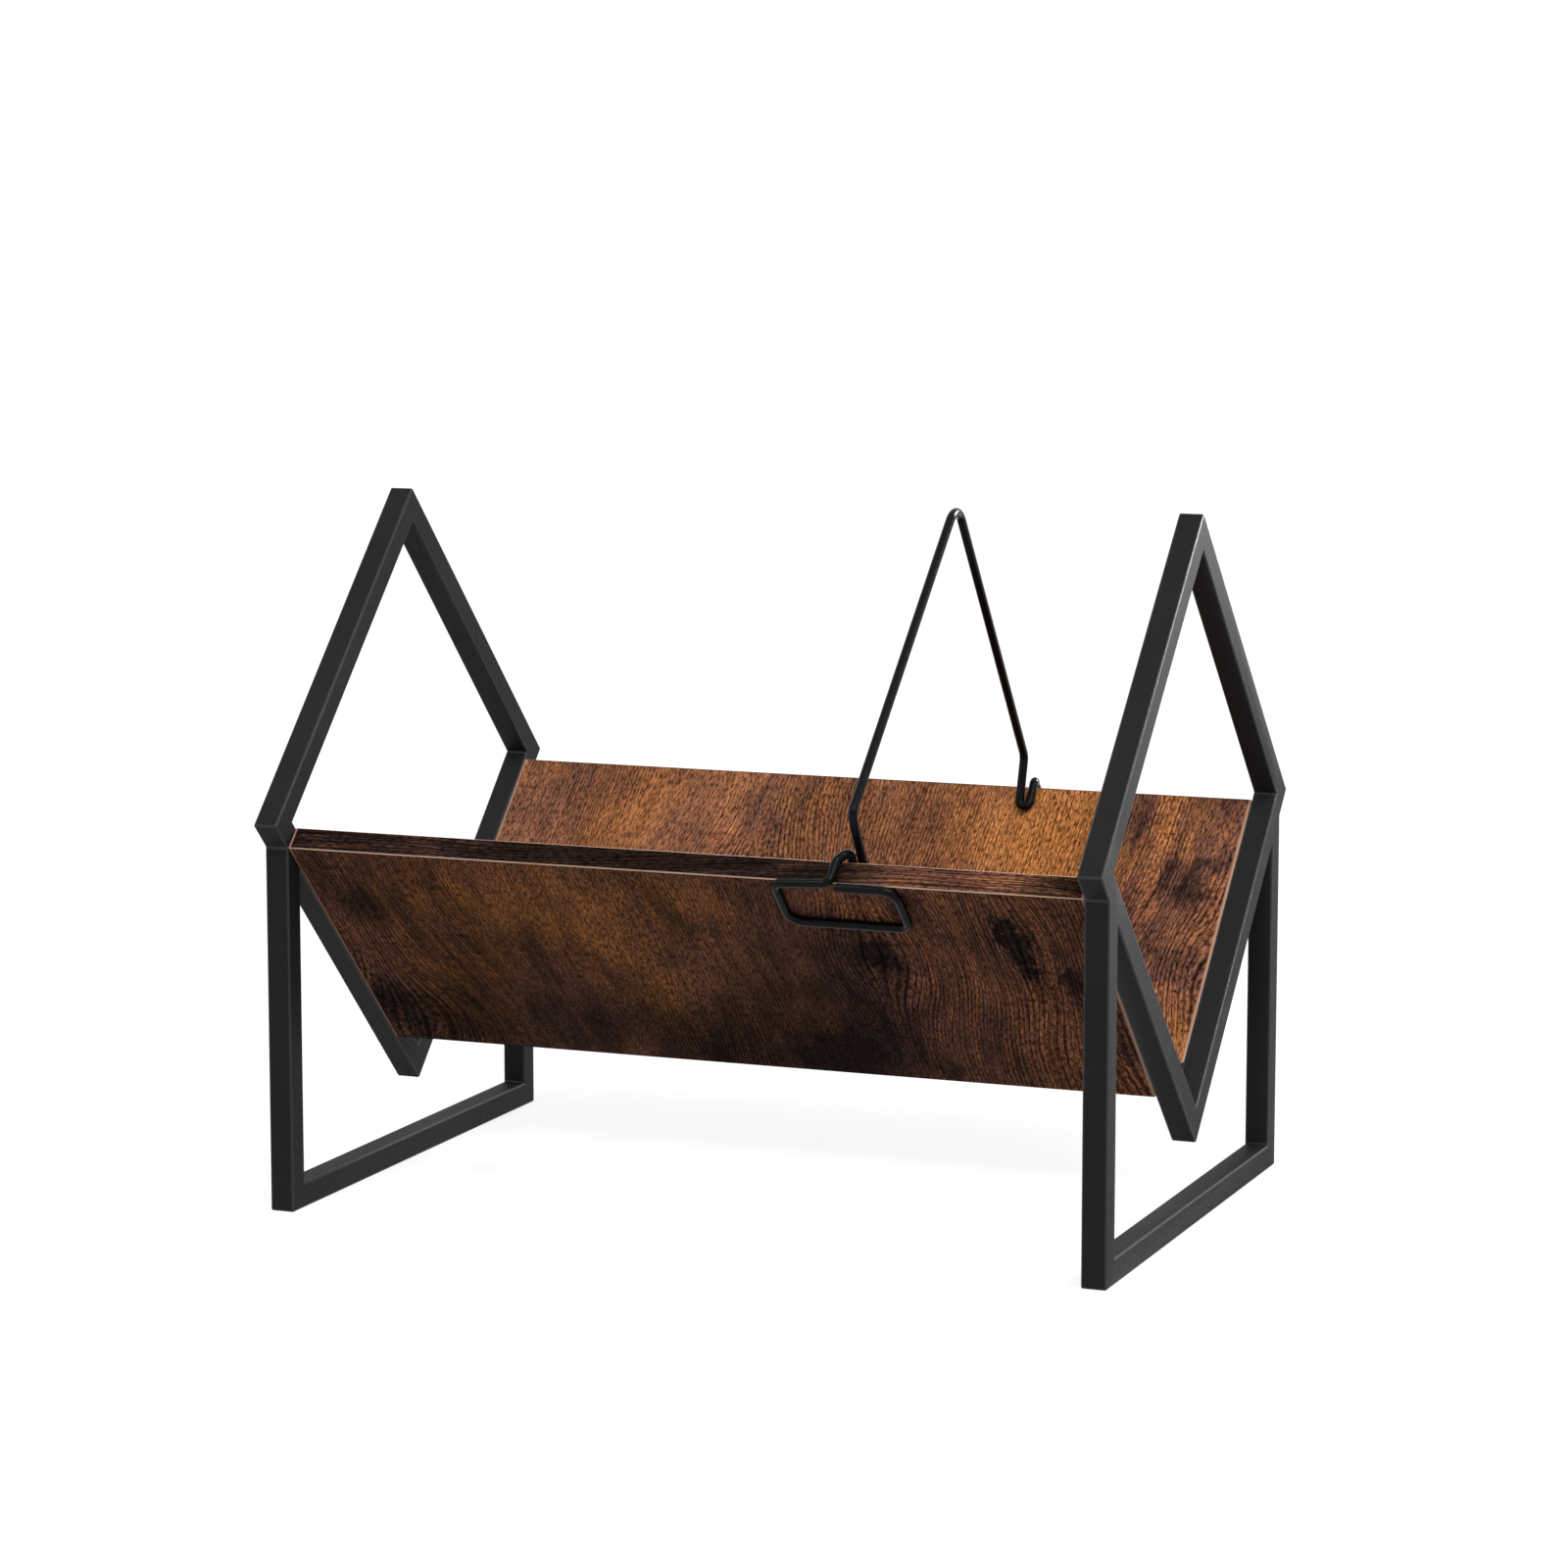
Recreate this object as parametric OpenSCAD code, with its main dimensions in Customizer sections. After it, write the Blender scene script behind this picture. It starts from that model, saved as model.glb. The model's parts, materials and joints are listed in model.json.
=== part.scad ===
// V-trough storage stand: two welded square-tube end frames, each a square
// diamond on its corner over a U-shaped leg, joined by two boards that form
// a V trough. A bent-wire divider hooks over both boards and slides along them.
//
// X runs along the trough, -Y is the front, Z is up. The origin is on the
// floor under the middle of the stand.

/* [Stand] */
// Overall length along the trough
stand_length = 450; // [360:1:600]
// Height of each diamond's lowest corner over the floor
floor_gap = 42; // [34:1:80]

/* [End frames] */
// Outer side of each square diamond
diamond_side = 226; // [200:1:300]
// Outer width of the square tube
tube_size = 13; // [12:0.5:18]
// Wall of the square tube
tube_wall = 1.2; // [0.8:0.1:1.8]
// Outside radius of the tube's four corners
tube_corner = 1; // [0.5:0.1:2]
// Distance in from a diamond's side corner to the outer face of the leg
leg_setback = 12.6; // [8:0.1:30]

/* [Boards] */
// Thickness of each board, with its faces flush with the tube
board_thickness = 13; // [12:0.5:18]
// Distance along the tube from the diamond's side corner to the board
board_top_setback = 17.5; // [14:0.5:30]
// Distance along the tube from the diamond's lowest corner to the board
board_bottom_setback = 39.6; // [26:0.1:60]
// Thickness of the band on each long edge of a board
edge_band = 0.8; // [0.4:0.1:2]
// Chamfer on every edge of a board
board_arris = 0.5; // [0.2:0.1:1]

/* [Fasteners] */
// Distance of each fixing from the long edge of its board
fixing_inset = 35; // [15:1:60]
// Diameter of the bolt's shank
bolt_d = 4; // [3:0.5:5]
// Length of the bolt under its head
bolt_length = 12; // [8:1:20]
// Diameter of the bolt's button head
bolt_head_d = 7.6; // [6.5:0.1:8.4]
// Height of the bolt's button head
bolt_head_h = 2.2; // [1.8:0.1:3]
// Width across flats of the bolt's hex socket
bolt_socket = 2.5; // [2:0.5:3]
// Depth of the bolt's hex socket
bolt_socket_depth = 1.3; // [1:0.1:1.6]
// Outer diameter of the threaded insert
insert_d = 8; // [6.5:0.1:9]
// Length of the threaded insert
insert_length = 12; // [10:1:20]
// Depth of the plug's skirt inside the tube
plug_skirt = 2.6; // [2:0.1:4]
// Wall of the plug's skirt
plug_wall = 0.8; // [0.6:0.1:1.2]

/* [Divider] */
// Diameter of the divider's wire
wire_d = 4.7; // [3:0.1:6]
// Place of the divider along the trough, from the middle
divider_x = 90; // [-80:0.1:110]
// Height at which the lines of the legs meet, over the peaks of the end frames
peak_rise = 2; // [-60:0.1:3]
// Radius of the bend at the peak
peak_bend = 13; // [5:0.5:20]
// Lean of the divider's peak along the trough
peak_lean = 4.4; // [0:0.1:10]
// Height of the front leg's bend over the board's edge, along the slope
front_bend_rise = 23.5; // [5:0.5:40]
// Distance of the front leg's bend from the plane of the board's inner face
front_bend_clear = 11.7; // [6:0.1:30]
// Height of the back leg's bend over the board's edge, along the slope
back_bend_rise = 9; // [5:0.5:40]
// Distance of the back leg's bend from the plane of the board's inner face
back_bend_clear = 15.3; // [6:0.1:30]
// Depth of the hairpin below the board's edge, inside the trough
hairpin_depth = 15; // [12:0.5:40]
// Gap between the two strands of the hairpin
hairpin_gap = 0.7; // [0.5:0.1:6]
// Shift of the front hook's outer end along the trough, away from the leg
front_hook_shift = 4.4; // [0:0.1:8]
// Shift of the back hook's outer end along the trough, away from the leg
back_hook_shift = -1.6; // [-2:0.1:8]
// Spare reach of the front hook past the board's inner face
front_hook_spare = 1.2; // [0:0.1:3]
// Spare reach of the back hook past the board's inner face
back_hook_spare = 0; // [0:0.1:3]
// Width of the outer loop along the trough
loop_width = 62.7; // [40:0.1:90]
// Height of the outer loop down the board
loop_height = 31.2; // [25:0.1:60]
// Distance from the loop's far side to the hairpin
loop_reach = 34.1; // [20:0.1:40]
// Distance of the loop below the strand's turn over the board
loop_drop = 2.6; // [0:0.1:4]
// Drop of the loop's open end below its other end
loop_step = 0.6; // [0:0.1:4]

/* [Fits] */
// Radial clearance of bolts, inserts and plugs in their holes
fit_clearance = 0.05; // [0.02:0.01:0.2]
// Radial clearance of the access hole round the bolt's head
head_clearance = 0.4; // [0.2:0.1:0.6]
// Radial clearance of the tube's bolt hole round the shank
shank_clearance = 0.2; // [0.1:0.05:0.4]
// Clearance between the divider and the boards
slide_clearance = 0.3; // [0.2:0.05:0.6]

/* [Hidden] */
FRAME_TUBES = ["lower_front_tube", "upper_front_tube", "upper_back_tube", "lower_back_tube"];
NODES = [
    "left_lower_front_tube", "left_upper_front_tube", "left_upper_back_tube", "left_lower_back_tube",
    "left_front_leg", "left_back_leg", "left_floor_rail",
    "right_lower_front_tube", "right_upper_front_tube", "right_upper_back_tube", "right_lower_back_tube",
    "right_front_leg", "right_back_leg", "right_floor_rail",
    "front_board", "front_board_top_band", "front_board_bottom_band",
    "back_board", "back_board_top_band", "back_board_bottom_band",
    "front_board_inserts", "back_board_inserts",
    "left_bolts", "right_bolts", "left_plugs", "right_plugs",
    "divider_wire"
];
node = "all";

ENDS = ["left", "right"];
STEEL = "#2b2b2c";
LAMINATE = "#8a5a3a";
BAND = "#7a4c31";
PLATED = "#b9b9b4";
BLACK = "#1c1c1c";

// How far a cutter runs past the face that it cuts
overrun = 1;

half_diagonal = diamond_side / sqrt(2);
side_corner_z = floor_gap + half_diagonal;
frame_top = floor_gap + 2 * half_diagonal;
leg_y = half_diagonal - leg_setback;

board_length = stand_length - 2 * tube_size;
board_width = diamond_side - board_top_setback - board_bottom_setback;
board_offset = (tube_size - board_thickness) / 2;

access_d = bolt_head_d + 2 * head_clearance;
bolt_seat = tube_size - tube_wall;
insert_bore = bolt_d + 2 * fit_clearance;
pilot_spare = 1;
pilot_depth = max(insert_length, bolt_length - tube_wall) + pilot_spare;
plug_bead = 0.25;
plug_bead_width = 0.6;

wire_r = wire_d / 2;
wire_bend = 6;
loop_bend = 5;
loop_wide_bend = 8;
loop_end_gap = 0.65;
hook_root_bend = wire_r + 1.65;
hook_bend = wire_r + 1.25;
hook_height = 0.55;
hook_turn = 2;
hook_toe_in = 0.8;
hairpin_pitch = wire_d + hairpin_gap;
hairpin_land = 0.4;
hairpin_bend = (hairpin_pitch - hairpin_land) / 2;
hairpin_shift = 1.1;
wire_sides = 12;
arc_step = 18;
seam_side = [0.36, 0.48, 0.8];
round_fn = 48;

// ---------------------------------------------------------------- profiles

// Solid square with round corners, one corner on the origin
module rounded_square(size, radius) {
    translate([radius, 0]) square([size - 2 * radius, size]);
    translate([0, radius]) square([size, size - 2 * radius]);
    for (x = [radius, size - radius], y = [radius, size - radius])
        translate([x, y]) circle(r = radius, $fn = round_fn);
}

// Straight length of hollow square tube along Z
module square_tube(length) {
    difference() {
        linear_extrude(length) rounded_square(tube_size, tube_corner);
        translate([tube_wall, tube_wall, -overrun])
            cube([tube_size - 2 * tube_wall, tube_size - 2 * tube_wall, length + 2 * overrun]);
    }
}

// Tube mitred at both ends: its Y = 0 face is the long one
module mitred_tube(length) {
    intersection() {
        square_tube(length);
        translate([-overrun, 0, 0]) rotate([90, 0, 90]) linear_extrude(tube_size + 2 * overrun)
            polygon([[0, 0], [tube_size, tube_size], [tube_size, length - tube_size], [0, length]]);
    }
}

// ------------------------------------------------------------- end frames

// Places its children, drawn for the left end, on either end
module on_end(end) {
    mirror([end == "right" ? 1 : 0, 0, 0]) translate([-stand_length / 2, 0, 0]) children();
}

// Turns its children, drawn on the lower front side, to another side of the diamond
module on_side(index) {
    translate([0, 0, side_corner_z]) rotate([-90 * index, 0, 0])
        translate([0, 0, -half_diagonal]) rotate([45, 0, 0]) children();
}

// Places along the lower front side at which the boards are bolted
function fixing_places() = [
    board_bottom_setback + fixing_inset,
    diamond_side - board_top_setback - fixing_inset
];

// Bolt holes and access holes through a lower tube
module fixing_holes(places) {
    for (z = places) translate([0, tube_size / 2, z]) rotate([0, 90, 0]) {
        translate([0, 0, -overrun])
            cylinder(h = tube_wall + 2 * overrun, d = access_d, $fn = round_fn);
        translate([0, 0, bolt_seat - overrun])
            cylinder(h = tube_wall + 2 * overrun, d = bolt_d + 2 * shank_clearance, $fn = round_fn);
    }
}

module diamond_tube(index) {
    color(STEEL) on_side(index) difference() {
        mitred_tube(diamond_side);
        if (index == 0) fixing_holes(fixing_places());
        if (index == 3) fixing_holes([for (z = fixing_places()) diamond_side - z]);
    }
}

// Upright of the front leg: mitred to the floor rail, cut at 45 degrees
// along the underside of the lower tube that it is welded to
module front_leg() {
    outer_top = side_corner_z - leg_setback;
    color(STEEL) intersection() {
        translate([0, -leg_y, 0]) square_tube(outer_top);
        translate([-overrun, -leg_y, 0]) rotate([90, 0, 90]) linear_extrude(tube_size + 2 * overrun)
            polygon([[0, 0], [tube_size, tube_size], [tube_size, outer_top - tube_size], [0, outer_top]]);
    }
}

module back_leg() {
    mirror([0, 1, 0]) front_leg();
}

module floor_rail() {
    color(STEEL) translate([0, leg_y, 0]) rotate([90, 0, 0]) mitred_tube(2 * leg_y);
}

// ------------------------------------------------------------------ boards

// Draws its children, made on the lower front side, for the front or the back board
module on_board(face) {
    mirror([0, face == "back" ? 1 : 0, 0])
        translate([0, 0, floor_gap]) rotate([45, 0, 0]) translate([0, board_offset, 0]) children();
}

// Axis of each fixing at both ends of a board, with Z pointing into the board
module at_board_fixings() {
    for (end = [0, 1], z = fixing_places())
        mirror([end, 0, 0]) translate([-board_length / 2, board_thickness / 2, z])
            rotate([0, 90, 0]) children();
}

// Rectangle with its corners chamfered
module eased_rectangle(size) {
    x = size[0];
    y = size[1];
    c = board_arris;
    polygon([[c, 0], [x - c, 0], [x, c], [x, y - c], [x - c, y], [c, y], [0, y - c], [0, c]]);
}

// Whole board with every edge chamfered, its lowest corner on the origin
module board_blank() {
    intersection() {
        rotate([90, 0, 90]) linear_extrude(board_length) eased_rectangle([board_thickness, board_width]);
        translate([0, board_thickness, 0]) rotate([90, 0, 0])
            linear_extrude(board_thickness) eased_rectangle([board_length, board_width]);
        linear_extrude(board_width) eased_rectangle([board_length, board_thickness]);
    }
}

// Part of the board between two distances from its lower edge
module board_slice(low, high) {
    translate([-board_length / 2, 0, board_bottom_setback]) intersection() {
        board_blank();
        translate([-overrun, -overrun, low])
            cube([board_length + 2 * overrun, board_thickness + 2 * overrun, high - low]);
    }
}

module board(face) {
    color(LAMINATE) on_board(face) difference() {
        board_slice(edge_band, board_width - edge_band);
        at_board_fixings() translate([0, 0, -overrun])
            cylinder(h = pilot_depth + overrun, d = insert_d + 2 * fit_clearance, $fn = round_fn);
    }
}

module board_band(face, edge) {
    low = edge == "top" ? board_width - edge_band : -overrun;
    high = edge == "top" ? board_width + overrun : edge_band;
    color(BAND) on_board(face) board_slice(low, high);
}

// --------------------------------------------------------------- fasteners

module board_inserts(face) {
    color(PLATED) on_board(face) at_board_fixings() difference() {
        cylinder(h = insert_length, d = insert_d, $fn = round_fn);
        translate([0, 0, -overrun])
            cylinder(h = insert_length + 2 * overrun, d = insert_bore, $fn = round_fn);
    }
}

// Button-head bolt: the underside of its head is at Z = 0 and its shank points along Z
module bolt() {
    dome_r = (pow(bolt_head_d / 2, 2) + pow(bolt_head_h, 2)) / (2 * bolt_head_h);
    cylinder(h = bolt_length, d = bolt_d, $fn = round_fn);
    difference() {
        intersection() {
            translate([0, 0, dome_r - bolt_head_h]) sphere(r = dome_r, $fn = 2 * round_fn);
            translate([0, 0, -bolt_head_h]) cylinder(h = bolt_head_h, d = bolt_head_d, $fn = round_fn);
        }
        translate([0, 0, -bolt_head_h - overrun])
            cylinder(h = bolt_socket_depth + overrun, d = bolt_socket / cos(30), $fn = 6);
    }
}

// Flush snap-in plug: its outer face is at Z = 0 and its skirt points along Z
module plug() {
    plug_r = access_d / 2 - fit_clearance;
    difference() {
        union() {
            cylinder(h = tube_wall + plug_skirt, r = plug_r, $fn = round_fn);
            translate([0, 0, tube_wall + fit_clearance])
                cylinder(h = plug_bead_width, r = plug_r + plug_bead, $fn = round_fn);
        }
        translate([0, 0, tube_wall])
            cylinder(h = plug_skirt + overrun, r = plug_r - plug_wall, $fn = round_fn);
    }
}

// Axis of each fixing on one end frame, from its outer face inwards
module at_end_fixings(end) {
    on_end(end) for (face = [0, 1], z = fixing_places())
        mirror([0, face, 0]) translate([0, 0, floor_gap]) rotate([45, 0, 0])
            translate([0, tube_size / 2, z]) rotate([0, 90, 0]) children();
}

module bolts(end) {
    color(PLATED) at_end_fixings(end) translate([0, 0, bolt_seat]) bolt();
}

module plugs(end) {
    color(BLACK) at_end_fixings(end) plug();
}

// ----------------------------------------------------------------- divider

function unit(v) = v / norm(v);

// Turn of a route at one of its points, and the length that its arc takes from each run
function turn_angle(p, i) = acos(unit(p[i] - p[i - 1]) * unit(p[i + 1] - p[i]));
function arc_reach(p, radii, i) = radii[i] * tan(turn_angle(p, i) / 2);

// Places and directions along the arc at one point of a route
function arc_stations(p, radii, i) =
    let (
        along = unit(p[i] - p[i - 1]),
        next = unit(p[i + 1] - p[i]),
        inward = unit(next - (next * along) * along),
        start = p[i] - along * arc_reach(p, radii, i),
        steps = ceil(turn_angle(p, i) / arc_step)
    )
    [for (j = [0 : steps]) let (a = turn_angle(p, i) * j / steps)
        [start + radii[i] * (inward * (1 - cos(a)) + along * sin(a)), along * cos(a) + inward * sin(a)]];

// Places and directions along a whole route with rounded corners
function route_stations(p, radii) = let (last = len(p) - 1) concat(
    [[p[0], unit(p[1] - p[0])]],
    [for (i = [1 : last - 1]) each arc_stations(p, radii, i)],
    [[p[last], unit(p[last] - p[last - 1])]]
);

// Side direction at each station, carried along the route without twist
function sideways(stations, i, side) =
    i == len(stations) ? [] :
    let (d = stations[i][1], now = unit(side - (side * d) * d))
    concat([now], sideways(stations, i + 1, now));

// One length of round wire along a route, with an arc of the given radius at each corner
module bent_wire(p, radii) {
    stations = route_stations(p, radii);
    sides = sideways(stations, 0, seam_side);
    n = wire_sides;
    last = len(stations) - 1;
    points = [for (i = [0 : last], j = [0 : n - 1])
        let (a = 360 * j / n, d = stations[i][1], u = sides[i])
        stations[i][0] + wire_r * (u * cos(a) + cross(d, u) * sin(a))];
    walls = [for (i = [0 : last - 1], j = [0 : n - 1])
        let (k = (j + 1) % n, a = i * n + j, b = i * n + k)
        each [[a, a + n, b], [b, a + n, b + n]]];
    ends = [[for (j = [0 : n - 1]) j], [for (j = [0 : n - 1]) (last + 1) * n - 1 - j]];
    polyhedron(points, concat(walls, ends), convexity = 8);
}

// Point at x along the trough, s down the slope from the side corner and
// k in from the outer face of the lower tubes, on the front or the back
function on_front(x, s, k) = [
    divider_x + x,
    (s + k) / sqrt(2) - half_diagonal,
    side_corner_z + (k - s) / sqrt(2)
];
function on_back(x, s, k) = let (p = on_front(x, s, k)) [2 * divider_x - p[0], -p[1], p[2]];

// One half of the divider in x, s and k, from the open end of its loop to the
// bend of its leg: the two halves are half a turn apart about the upright axis
inner_face = board_offset + board_thickness;
outer_k = board_offset - wire_r - slide_clearance;
inner_k = inner_face + wire_r + slide_clearance;
hook_gap = wire_r + slide_clearance + hook_height;
hook_s = board_top_setback - hook_gap;
strand_x = hairpin_shift - hairpin_pitch / 2;
loop_far_x = strand_x - loop_reach;
loop_near_x = loop_far_x + loop_width;
loop_top_s = hook_s + loop_drop;
loop_bottom_s = loop_top_s + loop_height;
loop_end_s = loop_top_s + loop_step;
hairpin_s = board_top_setback + hairpin_depth;

function half_route(shift, spare, rise, clear) = let (outer_x = strand_x - shift) [
    [outer_x + wire_r + loop_end_gap, loop_end_s, outer_k],
    [loop_near_x, loop_end_s, outer_k],
    [loop_near_x, loop_bottom_s, outer_k],
    [loop_far_x, loop_bottom_s, outer_k],
    [loop_far_x, loop_top_s, outer_k],
    [outer_x, hook_s, outer_k],
    [outer_x, hook_s, inner_face - hook_turn],
    [strand_x + hook_toe_in, hook_s, inner_face + hook_gap + spare],
    [strand_x, hairpin_s, inner_k],
    [strand_x + hairpin_pitch, hairpin_s, inner_k],
    [strand_x + hairpin_pitch, board_top_setback - rise, inner_face + clear]
];
HALF_RADII = [0, loop_wide_bend, loop_bend, loop_wide_bend, loop_bend, hook_root_bend,
    hook_bend, hook_bend, hairpin_bend, hairpin_bend, wire_bend];

module divider_wire() {
    front = [for (q = half_route(front_hook_shift, front_hook_spare, front_bend_rise, front_bend_clear))
        on_front(q[0], q[1], q[2])];
    back = [for (q = half_route(back_hook_shift, back_hook_spare, back_bend_rise, back_bend_clear))
        on_back(q[0], q[1], q[2])];
    last = len(back) - 1;
    peak = [divider_x + peak_lean, 0, frame_top + peak_rise];
    color(STEEL) bent_wire(
        concat(front, [peak], [for (i = [0 : last]) back[last - i]]),
        concat(HALF_RADII, [peak_bend], [for (i = [0 : last]) HALF_RADII[last - i]])
    );
}

// ---------------------------------------------------------------- assembly

function shown(name) = node == "all" || node == name;

for (end = ENDS) {
    for (i = [0 : 3]) if (shown(str(end, "_", FRAME_TUBES[i]))) on_end(end) diamond_tube(i);
    if (shown(str(end, "_front_leg"))) on_end(end) front_leg();
    if (shown(str(end, "_back_leg"))) on_end(end) back_leg();
    if (shown(str(end, "_floor_rail"))) on_end(end) floor_rail();
    if (shown(str(end, "_bolts"))) bolts(end);
    if (shown(str(end, "_plugs"))) plugs(end);
}
for (face = ["front", "back"]) {
    if (shown(str(face, "_board"))) board(face);
    for (edge = ["top", "bottom"])
        if (shown(str(face, "_board_", edge, "_band"))) board_band(face, edge);
    if (shown(str(face, "_board_inserts"))) board_inserts(face);
}
if (shown("divider_wire")) divider_wire();
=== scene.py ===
import json
import math

import bmesh
import bpy
from mathutils import Matrix, Vector

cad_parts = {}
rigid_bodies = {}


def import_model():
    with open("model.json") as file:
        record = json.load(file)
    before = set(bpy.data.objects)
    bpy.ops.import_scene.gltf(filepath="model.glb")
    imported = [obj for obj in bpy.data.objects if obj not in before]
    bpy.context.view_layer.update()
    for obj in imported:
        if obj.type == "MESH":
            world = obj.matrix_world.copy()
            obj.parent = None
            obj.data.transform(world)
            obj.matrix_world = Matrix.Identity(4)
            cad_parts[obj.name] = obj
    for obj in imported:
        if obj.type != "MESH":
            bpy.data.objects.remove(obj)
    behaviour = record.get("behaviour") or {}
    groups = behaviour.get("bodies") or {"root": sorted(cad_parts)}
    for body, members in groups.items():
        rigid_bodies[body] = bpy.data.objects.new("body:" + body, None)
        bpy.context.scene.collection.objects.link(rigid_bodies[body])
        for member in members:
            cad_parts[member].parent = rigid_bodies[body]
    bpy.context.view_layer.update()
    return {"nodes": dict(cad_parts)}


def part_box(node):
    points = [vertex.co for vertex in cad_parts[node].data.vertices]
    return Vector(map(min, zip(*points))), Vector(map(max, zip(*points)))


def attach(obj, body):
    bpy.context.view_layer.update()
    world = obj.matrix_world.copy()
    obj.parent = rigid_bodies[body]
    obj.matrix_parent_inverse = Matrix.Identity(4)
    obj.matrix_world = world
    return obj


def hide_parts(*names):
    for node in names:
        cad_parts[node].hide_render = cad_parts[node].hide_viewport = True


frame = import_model()
for leftover in [o for o in bpy.data.objects if o.type in {"LIGHT", "CAMERA"} or o.name == "Cube"]:
    bpy.data.objects.remove(leftover)

# ---------------------------------------------------------------- end frames
# Each end is one weldment of 13 mm square steel tube: a square that stands on
# its corner, on a U of two legs and a floor rail. The mitres are welded and
# ground flush, and the whole is coated in matte black powder.

rail_low, rail_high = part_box("left_floor_rail")
side_low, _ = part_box("left_lower_front_tube")
TUBE = rail_high.x - rail_low.x
TUBE_WALL = 0.0012
TUBE_ARRIS = 0.001
ARRIS_STEPS = 4
OUTER_X = rail_low.x
END_X = (rail_low.x + rail_high.x) / 2
LEG_Y = rail_high.y
DIAMOND_REACH = -side_low.y
DIAMOND_SIDE = DIAMOND_REACH * math.sqrt(2)
DIAMOND_Z = side_low.z + DIAMOND_REACH
SMOOTH_BELOW = math.radians(32)
QUARTER_TURN = math.radians(90)
MERGE_WITHIN = 1e-6
# the least share of a normal along an axis, for a face square to it or on a slope
FACING = 0.9
SLOPING = 0.5


def select_faces(chosen):
    """In edit mode, selects the faces whose centre and normal pass the test."""
    mesh = bmesh.from_edit_mesh(bpy.context.object.data)
    bpy.ops.mesh.select_all(action="DESELECT")
    for face in mesh.faces:
        face.select_set(chosen(face.calc_center_median(), face.normal))
    mesh.select_flush_mode()
    bmesh.update_edit_mesh(bpy.context.object.data)


def start_piece(name):
    """Names the primitive just added, puts its place into its mesh and opens it for editing."""
    made = bpy.context.object
    made.name = made.data.name = name
    bpy.ops.object.transform_apply(location=True, rotation=True, scale=True)
    bpy.ops.object.mode_set(mode="EDIT")
    bpy.ops.mesh.select_mode(type="FACE")
    return made


def apply_modifier(piece, kind, **settings):
    """Adds a modifier to a piece and applies it at once."""
    bpy.ops.object.select_all(action="DESELECT")
    piece.select_set(True)
    bpy.context.view_layer.objects.active = piece
    modifier = piece.modifiers.new(kind.lower(), kind)
    for key, value in settings.items():
        setattr(modifier, key, value)
    bpy.ops.object.modifier_apply(modifier=modifier.name)


def round_edges(piece, width, segments, angle=SMOOTH_BELOW, slot=-1):
    """Rounds each edge that is sharper than the angle; the roundings may get their own material slot."""
    apply_modifier(
        piece, "BEVEL", width=width, segments=segments,
        limit_method="ANGLE", angle_limit=angle, material=slot,
    )


def shade(piece):
    """Smooth roundings between flats that stay flat."""
    bpy.ops.object.select_all(action="DESELECT")
    piece.select_set(True)
    bpy.context.view_layer.objects.active = piece
    bpy.ops.object.shade_smooth_by_angle(angle=SMOOTH_BELOW)
    apply_modifier(piece, "WEIGHTED_NORMAL", keep_sharp=True)


def duplicate(source, name, move):
    """A copy with its own mesh, put in its place by a matrix on that mesh."""
    copy = source.copy()
    copy.data = source.data.copy()
    copy.name = copy.data.name = name
    bpy.context.collection.objects.link(copy)
    copy.data.transform(move)
    if move.determinant() < 0:
        copy.data.flip_normals()
    return copy


def join(pieces):
    """Joins loose copies into the first of them."""
    bpy.ops.object.select_all(action="DESELECT")
    for piece in pieces:
        piece.select_set(True)
    bpy.context.view_layer.objects.active = pieces[0]
    bpy.ops.object.join()
    return pieces[0]


def cut_out(piece, cutter):
    """Cuts a tool's shape out of a piece and throws the tool away."""
    apply_modifier(piece, "BOOLEAN", operation="DIFFERENCE", solver="EXACT", object=cutter)
    bpy.data.objects.remove(cutter)


MIRROR_X = Matrix.Scale(-1, 4, (1, 0, 0))
MIRROR_Y = Matrix.Scale(-1, 4, (0, 1, 0))

bpy.ops.object.select_all(action="DESELECT")
bpy.ops.mesh.primitive_cube_add(
    size=1, location=(END_X, 0, DIAMOND_Z), rotation=(QUARTER_TURN / 2, 0, 0),
    scale=(TUBE, DIAMOND_SIDE, DIAMOND_SIDE),
)
left_frame = start_piece("left_end_frame")
# the square becomes a ring of tube
select_faces(lambda centre, normal: abs(normal.x) > FACING)
bpy.ops.mesh.inset(thickness=TUBE)
bpy.ops.mesh.bridge_edge_loops()
# the legs are drawn down from its lower sides to the floor
for cut_y in (-LEG_Y, TUBE - LEG_Y, LEG_Y - TUBE, LEG_Y):
    bpy.ops.mesh.select_all(action="SELECT")
    bpy.ops.mesh.bisect(plane_co=(0, cut_y, 0), plane_no=(0, 1, 0))
select_faces(
    lambda centre, normal: normal.z < -SLOPING and LEG_Y - TUBE < abs(centre.y) < LEG_Y
    and abs(abs(centre.y) + abs(centre.z - DIAMOND_Z) - DIAMOND_REACH) < TUBE / 4
)
bpy.ops.mesh.extrude_region_move(TRANSFORM_OT_translate={"value": (0, 0, -DIAMOND_Z)})
bpy.ops.transform.resize(value=(1, 1, 0), center_override=(0, 0, 0))
# and the floor rail bridges their feet
bpy.ops.mesh.select_all(action="SELECT")
bpy.ops.mesh.bisect(plane_co=(0, 0, TUBE), plane_no=(0, 0, 1))
select_faces(
    lambda centre, normal: centre.z < TUBE and abs(normal.y) > FACING and abs(centre.y) < LEG_Y - TUBE / 2
)
bpy.ops.mesh.bridge_edge_loops()
bpy.ops.mesh.select_all(action="SELECT")
bpy.ops.mesh.remove_doubles(threshold=MERGE_WITHIN)
bpy.ops.mesh.normals_make_consistent(inside=False)
bpy.ops.object.mode_set(mode="OBJECT")
left_frame.data.materials.append(None)
left_frame.data.materials.append(None)
round_edges(left_frame, TUBE_ARRIS, ARRIS_STEPS, slot=1)

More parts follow.
